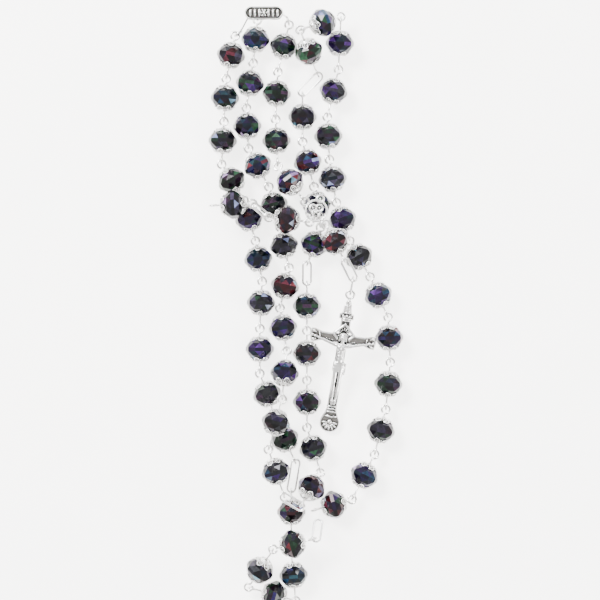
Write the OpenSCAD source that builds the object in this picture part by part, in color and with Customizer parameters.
// Rosary laid in a loose heap: faceted dark crystal beads with flower bead caps on eyepins,
// a centrepiece, an openwork connector, oval chain links and a crucifix.
// Millimetres. Z is up, the table is z = 0, Y runs along the heap, X across it.

/* [Beads] */
// across-flats diameter of a bead
bead_d = 6; // [5:0.1:8]
// thickness of a bead along its wire
bead_t = 4.7; // [3.5:0.1:6]
// radius of the hole through a bead
bore_r = 0.4; // [0.35:0.05:0.6]
// number of side facets
facets = 10; // [8:1:12]

/* [Wire] */
// radius of the wire in the eyes
wire_r = 0.25; // [0.2:0.01:0.3]
// radius of an eye, to the middle of the wire
eye_r = 0.9; // [0.8:0.05:1]

/* [Crucifix] */
// thickness of the cross
cross_t = 1.2; // [0.8:0.1:2]
// angle at which the crucifix leans on the table
cross_lean = 10.5; // [0:0.5:15]

/* [Hidden] */
$fn = 48;
tz = bead_d / 2;                      // height of a wire that lies on the table
rv = bead_d / 2 / cos(180 / facets);  // bead radius at a facet corner
hb = bead_t / 2;
mid = [-0.25, 1.38, 0];                   // moved to the origin

// Link points, one list per strand. A unit runs from each point to the next one.
// A point is the middle of the eye that a unit starts with.
// left strand, from the centrepiece to the long ring
a = [[-16, 62, tz], [-18, 52.5, tz], [-18.5, 43, tz], [-19, 33.5, tz], [-14, 25.5, tz], [-11.5, 16.5, tz],
     [-10, 7.5, tz], [-10.5, -3, tz], [-10.5, -13, tz], [-7, -23, tz], [-2.5, -33, tz]];
// second strand, from the centrepiece down to the link above the last left bead
b = [[-11, 65.5, tz], [-12, 56, tz], [-13.5, 46, tz], [-13, 37, tz], [-8.5, 28.5, tz], [-6, 19.5, tz],
     [-4, 10.5, tz], [-6, 1.5, tz], [-4.5, -8, tz], [-5.5, -18.5, 7.5], [-8.5, -29.5, 8], [-5, -40, 7.5]];
// pendant strand, from the centrepiece to the connector
c = [[-4, 64.5, tz], [-6.5, 54, tz], [-7, 43.5, tz], [-6.5, 33, 3.6], [-0.5, 25, 7.2]];
// middle strand: top turn, then three straight runs with an oval link between them
d1 = [[7.5, 66, 4.8], [-1.5, 62.5, 9], [2.5, 53, tz]];
d2 = [[-1, 49.5, tz], [-1, 38.5, tz], [1.5, 28.5, tz], [3, 19.5, tz], [0, 11, tz]];
d3 = [[0, 7.5, tz], [0, -3.5, tz], [0, -14.5, tz], [0, -25, tz], [3, -35, tz], [-1.5, -42, 8]];
// right strand, heap part
e = [[7.5, 66, 4.6], [7, 54.5, tz], [4.5, 44, tz], [5, 34.5, tz], [6.5, 25, tz], [9.5, 16.5, tz]];
// right strand, free part
f = [[9.5, 16.5, tz], [14, 8.5, tz], [18, -0.5, tz], [18.5, -10.5, tz], [17.5, -21, tz], [15, -31, tz],
     [10, -41, tz], [1, -43.5, tz]];
// bottom turn
t = [[-3.5, -52, tz], [-2.5, -63.5, tz], [-13, -60.5, tz], [-7.5, -51.5, 7], [2, -49, 7.5]];
// last left bead, under the link between the middle and second strands
l0 = [-3.5, -38.5, tz];
l1 = [-3.5, -49, tz];
// bead across the heap and the tail bead hooked to it
x0 = [-8.5, 21.5, 8];
x1 = [0.5, 20.5, 7.5];
y0 = [-12, 24.5, 8];
y1 = [-21.5, 24, 8];
// pendant end bead
p0 = [4, 20, 7.5];
p1 = [8.5, 11.5, 7];
// crucifix eye and the way it points
k0 = [9.5, 4.5, 6.5];
k_yaw = -9;

black = [0.13, 0.12, 0.16];
silver = [0.75, 0.75, 0.76];
dark = [0.55, 0.55, 0.56];

function unit(v) = v / norm(v);

// local X runs from p to q, starting at p
module along(p, q) {
  v = q - p;
  translate(p) rotate([0, 0, atan2(v[1], v[0])]) rotate([0, -asin(v[2] / norm(v)), 0]) children();
}

// middle of the bead on a unit, measured from p; o is 1 where the start eye hooks an oval link
function bead_x(p, q, o) = (norm(q - p) - eye_r + o * eye_r) / 2;

// a ring of wire in the XY plane
module ring(r = eye_r) {
  rotate_extrude() translate([r, 0]) circle(wire_r);
}

module eye(up) {
  rotate([up * 90, 0, 0]) ring();
}

module bead(p, q, o = 0) {
  along(p, q) translate([bead_x(p, q, o), 0, 0]) rotate([0, 90, 0]) rotate([0, 0, 180 / facets])
    rotate_extrude($fn = facets)
      polygon([[bore_r, -hb + 0.1], [1.6, -hb], [rv - 0.25, -1.1], [rv, -0.35], [rv, 0.35], [rv - 0.25, 1.1],
               [1.6, hb], [bore_r, hb - 0.1]]);
}

// flower of six petals with a raised boss, on the end of the bead
module cap() {
  translate([0, 0, hb + 0.05]) difference() {
    union() {
      linear_extrude(height = 0.32) union() {
        circle(1.5);
        for (i = [0:5]) rotate(60 * i) translate([1.75, 0]) circle(0.7);
      }
      cylinder(h = 0.45, r = 0.8);
    }
    translate([0, 0, -1]) cylinder(h = 3, r = 0.33);
  }
}

module caps(p, q, o = 0) {
  along(p, q) translate([bead_x(p, q, o), 0, 0]) for (s = [-1, 1]) rotate([0, s * 90, 0]) cap();
}

// eye to eye wire through the bead; s and w are 0 for a flat eye, 1 for an upright one
module pin(p, q, s = 0, w = 1, o = 0) {
  n = norm(q - p);
  along(p, q) union() {
    translate([o * eye_r, 0, 0]) eye(s);
    translate([n - eye_r, 0, 0]) eye(w);
    translate([(o + 1) * eye_r - 0.05, 0, 0]) rotate([0, 90, 0])
      cylinder(h = n - (o + 3) * eye_r + 0.1, r = 0.21);
  }
}

// oval chain link, its round ends centred on p and q, turned by roll about its length
module oval(p, q, roll = 0) {
  n = norm(q - p);
  along(p, q) rotate([roll, 0, 0]) union() {
    rotate([0, 0, 90]) rotate_extrude(angle = 180) translate([eye_r, 0]) circle(wire_r);
    translate([n, 0, 0]) rotate([0, 0, -90]) rotate_extrude(angle = 180) translate([eye_r, 0]) circle(wire_r);
    for (y = [-1, 1]) translate([0, y * eye_r, 0]) rotate([0, 90, 0]) cylinder(h = n, r = wire_r);
  }
}

module run_beads(v) { for (i = [0:len(v) - 2]) bead(v[i], v[i + 1]); }
module run_caps(v) { for (i = [0:len(v) - 2]) caps(v[i], v[i + 1]); }
module run_pins(v) { for (i = [0:len(v) - 2]) pin(v[i], v[i + 1]); }
// the same with the first unit hooked to an oval link
module hooked_beads(v) { for (i = [0:len(v) - 2]) bead(v[i], v[i + 1], i == 0 ? 1 : 0); }
module hooked_caps(v) { for (i = [0:len(v) - 2]) caps(v[i], v[i + 1], i == 0 ? 1 : 0); }
module hooked_pins(v) { for (i = [0:len(v) - 2]) pin(v[i], v[i + 1], i == 0 ? 1 : 0, 1, i == 0 ? 1 : 0); }

module place() { translate(mid * -1) children(); }

module left_strand_beads() { color(black) place() { run_beads(a); bead(l0, l1, 1); } }
module second_strand_beads() { color(black) place() run_beads(b); }
module pendant_strand_beads() { color(black) place() run_beads(c); }
module middle_strand_beads() { color(black) place() { run_beads(d1); hooked_beads(d2); hooked_beads(d3); } }
module right_strand_beads() { color(black) place() hooked_beads(e); }
module cross_bead() { color(black) place() bead(x0, x1); }
module left_bead_caps() { color(silver) place() { run_caps(a); caps(l0, l1, 1); run_caps(b); } }
module right_bead_caps() {
  color(silver) place() { run_caps(c); run_caps(d1); hooked_caps(d2); hooked_caps(d3); hooked_caps(e); caps(x0, x1); }
}
module left_eyepins() { color(silver) place() { run_pins(a); pin(l0, l1, 1, 1, 1); run_pins(b); } }
module right_eyepins() {
  color(silver) place() { run_pins(c); run_pins(d1); hooked_pins(d2); hooked_pins(d3); hooked_pins(e); pin(x0, x1); }
}
module oval_links() {
  color(silver) place() {
    oval(a[10], l0);
    oval(l1, t[0]);
    oval(d1[2], d2[0]);
    oval(d2[4], d3[0]);
    oval(d3[5], b[11]);
    oval(x0 + unit(y0 - x0) * eye_r, y0 - unit(y0 - x0) * eye_r, 50);
  }
}

// a ring in an upright plane whose far wire passes through p, seen from m
module hook(m, p) {
  w = [p[0] - m[0], p[1] - m[1], 0];
  u = unit(w);
  translate(p - u * eye_r) rotate([0, 0, atan2(u[1], u[0])]) rotate([90, 0, 0]) ring();
}

// small oval medal with a ribbed rim and three eyes
module centrepiece() {
  m = [-9.5, 67, 0];
  color(silver) place() union() {
    translate([-9.5, 66.5, 6.2]) linear_extrude(height = 1.2) union() {
      square([5.6, 2.4], center = true);
      for (s = [-1, 1]) translate([s * 2.8, 0]) circle(1.5);
    }
    for (i = [-3:3]) translate([-9.5 + i, 66.5, 7.4]) rotate([90, 0, 0]) cylinder(h = 2.4, r = 0.32, center = true);
    translate([-9.5, 66.5, 7.3]) cylinder(h = 0.5, r = 0.9);
    // left arm down to the left strand
    hook([-13.1, 64.2, 0], a[0]);
    rod([-14.8, 62.9, 3.65], [-12.8, 65.9, 6.5]);
    // middle arm down to the second strand
    hook([-9.5, 67.4, 0], b[0]);
    rod([-10.05, 66.7, 3.65], [-9.6, 66.6, 6.5]);
    // right arm down to the pendant strand
    hook([-4.6, 66.9, 0], c[0]);
    rod([-4.4, 66, 3.65], [-6, 66.8, 6.5]);
  }
}

// round wire between two points
module rod(p, q, r = 0.21, n = 48) {
  v = q - p;
  translate(p) rotate([0, 0, atan2(v[1], v[0])]) rotate([0, 90 - asin(v[2] / norm(v)), 0])
    cylinder(h = norm(v), r = r, $fn = n);
}

// wire ring of the openwork, with an eight-sided wire
module openwork_ring(r) {
  rotate_extrude($fn = 30) translate([r, 0]) circle(wire_r, $fn = 8);
}

// openwork heart of wire with eyes for the pendant strand, the cross bead and the pendant end bead
module connector() {
  m = [2, 23, 0];
  color(silver) place() union() {
    translate([2, 23, 7.2]) openwork_ring(2.3);
    translate([-0.5, 25, 7.2]) openwork_ring(eye_r);
    translate([0.5, 20.5, 7.2]) openwork_ring(eye_r);
    translate([2.9, 25.6, 7.2]) openwork_ring(0.75);
    translate([1.3, 23.6, 7.2]) openwork_ring(0.7);
    translate([2.7, 23.6, 7.2]) openwork_ring(0.7);
    rod([1, 23.1, 7.2], [1.9, 20.8, 7.2], 0.21, 8);
    rod([3, 23.1, 7.2], [2.1, 20.8, 7.2], 0.21, 8);
    translate([0, 0, -0.3]) hook(m, p0);
  }
}

module jump_rings() {
  v = [-sin(-k_yaw), -cos(k_yaw), 0];
  color(silver) place() {
    oval(p1, k0 - v * (2 * eye_r + 2.1));
    oval(k0 - v * (eye_r + 2.1), k0 - v * eye_r, 90);
  }
}

// crucifix frame: the eye at the origin, the foot towards -Y, the front towards +Z
module on_cross() {
  place() translate(k0) rotate([0, 0, k_yaw]) rotate([cross_lean, 0, 0]) children();
}

module bail() {
  color(silver) on_cross() union() {
    ring();
    translate([0, -0.85, 0]) rotate([90, 0, 0]) cylinder(h = 0.8, r = 0.35);
    translate([0, -1.5, 0]) rotate([90, 0, 0]) cylinder(h = 2.4, r1 = 0.5, r2 = 1);
    translate([0, -3.9, 0]) rotate([90, 0, 0]) cylinder(h = 0.28, r = 1.15);
  }
}

// right half of the cross outline, from the top to the foot
cross_half = [[1.1, -4.2], [1.1, -4.3], [1.6, -4.35], [1.6, -5.45], [1.1, -5.6], [1.1, -9], [4.7, -9], [5.6, -8.75],
              [6.2, -8.55], [7.1, -8.55], [7.3, -10], [7.1, -11.45], [6.2, -11.45], [5.6, -11.25], [4.7, -11],
              [1.1, -11], [1.1, -26], [1.5, -27.2], [2, -28.2], [2.25, -29.2], [2, -30.3], [1.4, -31], [0.6, -31.4]];

module cross() {
  n = len(cross_half);
  color(dark) on_cross() translate([0, 0, -cross_t / 2]) linear_extrude(height = cross_t)
    polygon(concat(cross_half, [for (i = [1:n]) [-cross_half[n - i][0], cross_half[n - i][1]]]));
}

module title_crown() {
  color(silver) on_cross() translate([0, -5.3, cross_t / 2 + 0.02]) linear_extrude(height = 0.6) union() {
    square([2.2, 1], center = true);
    for (s = [-1, 0, 1]) translate([s * 0.75, 0.55]) circle(0.42);
  }
}

module halo() {
  color(silver) on_cross() translate([0, -8.9, cross_t / 2 + 0.02]) linear_extrude(height = 0.5)
    difference() {
      rotate(45) square(3.7, center = true);
      rotate(45) square(2.8, center = true);
      translate([0, -2.6]) square([2.6, 3], center = true);
    }
}

// generic calm figure, flat at the back
module corpus() {
  z = cross_t / 2;
  color(silver) on_cross() difference() {
    union() {
      translate([0, -9.4, z + 0.75]) sphere(0.92);
      rod([0, -10, z + 0.5], [0, -12, z + 0.5], 0.4);
      rod([0, -11.5, z + 0.4], [0, -15.2, z + 0.4], 1.15);
      for (s = [-1, 1]) {
        rod([s * 0.6, -12.1, z + 0.4], [s * 6.3, -10.1, z + 0.35], 0.42);
        rod([s * 0.62, -16.8, z + 0.35], [s * 0.5, -24.6, z + 0.4], 0.56);
      }
      for (i = [0:3]) translate([-1.4, -15.5 - i * 0.5, z + 0.4]) rotate([0, 90, 0])
        cylinder(h = 2.8, r = 0.75 + 0.08 * (i % 2));
    }
    translate([0, -16, z + 0.02 - 5]) cube([30, 40, 10], center = true);
  }
}

module foot_band() {
  color(silver) on_cross() for (i = [0:2]) translate([-1.3, -25.6 - i * 0.62, cross_t / 2 + 0.02])
    cube([2.6, 0.4, 0.45]);
}

module free_bead(i) { color(black) place() bead(f[i], f[i + 1]); }
module free_caps(i) { color(silver) place() caps(f[i], f[i + 1]); }
module free_pin(i) { color(silver) place() pin(f[i], f[i + 1]); }
module turn_bead(i) { color(black) place() bead(t[i], t[i + 1], i == 0 ? 1 : 0); }
module turn_caps(i) { color(silver) place() caps(t[i], t[i + 1], i == 0 ? 1 : 0); }
module turn_pin(i) { color(silver) place() pin(t[i], t[i + 1], i == 0 ? 1 : 0, 1, i == 0 ? 1 : 0); }

module right_bead_1() { free_bead(0); }
module right_bead_2() { free_bead(1); }
module right_bead_3() { free_bead(2); }
module right_bead_4() { free_bead(3); }
module right_bead_5() { free_bead(4); }
module right_bead_6() { free_bead(5); }
module right_bead_7() { free_bead(6); }
module right_caps_1() { free_caps(0); }
module right_caps_2() { free_caps(1); }
module right_caps_3() { free_caps(2); }
module right_caps_4() { free_caps(3); }
module right_caps_5() { free_caps(4); }
module right_caps_6() { free_caps(5); }
module right_caps_7() { free_caps(6); }
module right_eyepin_1() { free_pin(0); }
module right_eyepin_2() { free_pin(1); }
module right_eyepin_3() { free_pin(2); }
module right_eyepin_4() { free_pin(3); }
module right_eyepin_5() { free_pin(4); }
module right_eyepin_6() { free_pin(5); }
module right_eyepin_7() { free_pin(6); }
module turn_bead_1() { turn_bead(0); }
module turn_bead_2() { turn_bead(1); }
module turn_bead_3() { turn_bead(2); }
module turn_bead_4() { turn_bead(3); }
module turn_caps_1() { turn_caps(0); }
module turn_caps_2() { turn_caps(1); }
module turn_caps_3() { turn_caps(2); }
module turn_caps_4() { turn_caps(3); }
module turn_eyepin_1() { turn_pin(0); }
module turn_eyepin_2() { turn_pin(1); }
module turn_eyepin_3() { turn_pin(2); }
module turn_eyepin_4() { turn_pin(3); }
module closing_link() { color(silver) place() oval(t[4], [2.5, -46, 5.5]); }
module tail_bead() { color(black) place() bead(y0, y1); }
module tail_caps() { color(silver) place() caps(y0, y1); }
module tail_eyepin() { color(silver) place() pin(y0, y1); }
module pendant_end_bead() { color(black) place() bead(p0, p1); }
module pendant_end_caps() { color(silver) place() caps(p0, p1); }
module pendant_end_eyepin() { color(silver) place() pin(p0, p1); }

left_strand_beads();
second_strand_beads();
pendant_strand_beads();
middle_strand_beads();
right_strand_beads();
cross_bead();
left_bead_caps();
right_bead_caps();
left_eyepins();
right_eyepins();
oval_links();
centrepiece();
connector();
right_bead_1();
right_bead_2();
right_bead_3();
right_bead_4();
right_bead_5();
right_bead_6();
right_bead_7();
right_caps_1();
right_caps_2();
right_caps_3();
right_caps_4();
right_caps_5();
right_caps_6();
right_caps_7();
right_eyepin_1();
right_eyepin_2();
right_eyepin_3();
right_eyepin_4();
right_eyepin_5();
right_eyepin_6();
right_eyepin_7();
turn_bead_1();
turn_bead_2();
turn_bead_3();
turn_bead_4();
turn_caps_1();
turn_caps_2();
turn_caps_3();
turn_caps_4();
turn_eyepin_1();
turn_eyepin_2();
turn_eyepin_3();
turn_eyepin_4();
closing_link();
tail_bead();
tail_caps();
tail_eyepin();
pendant_end_bead();
pendant_end_caps();
pendant_end_eyepin();
jump_rings();
bail();
cross();
title_crown();
halo();
corpus();
foot_band();
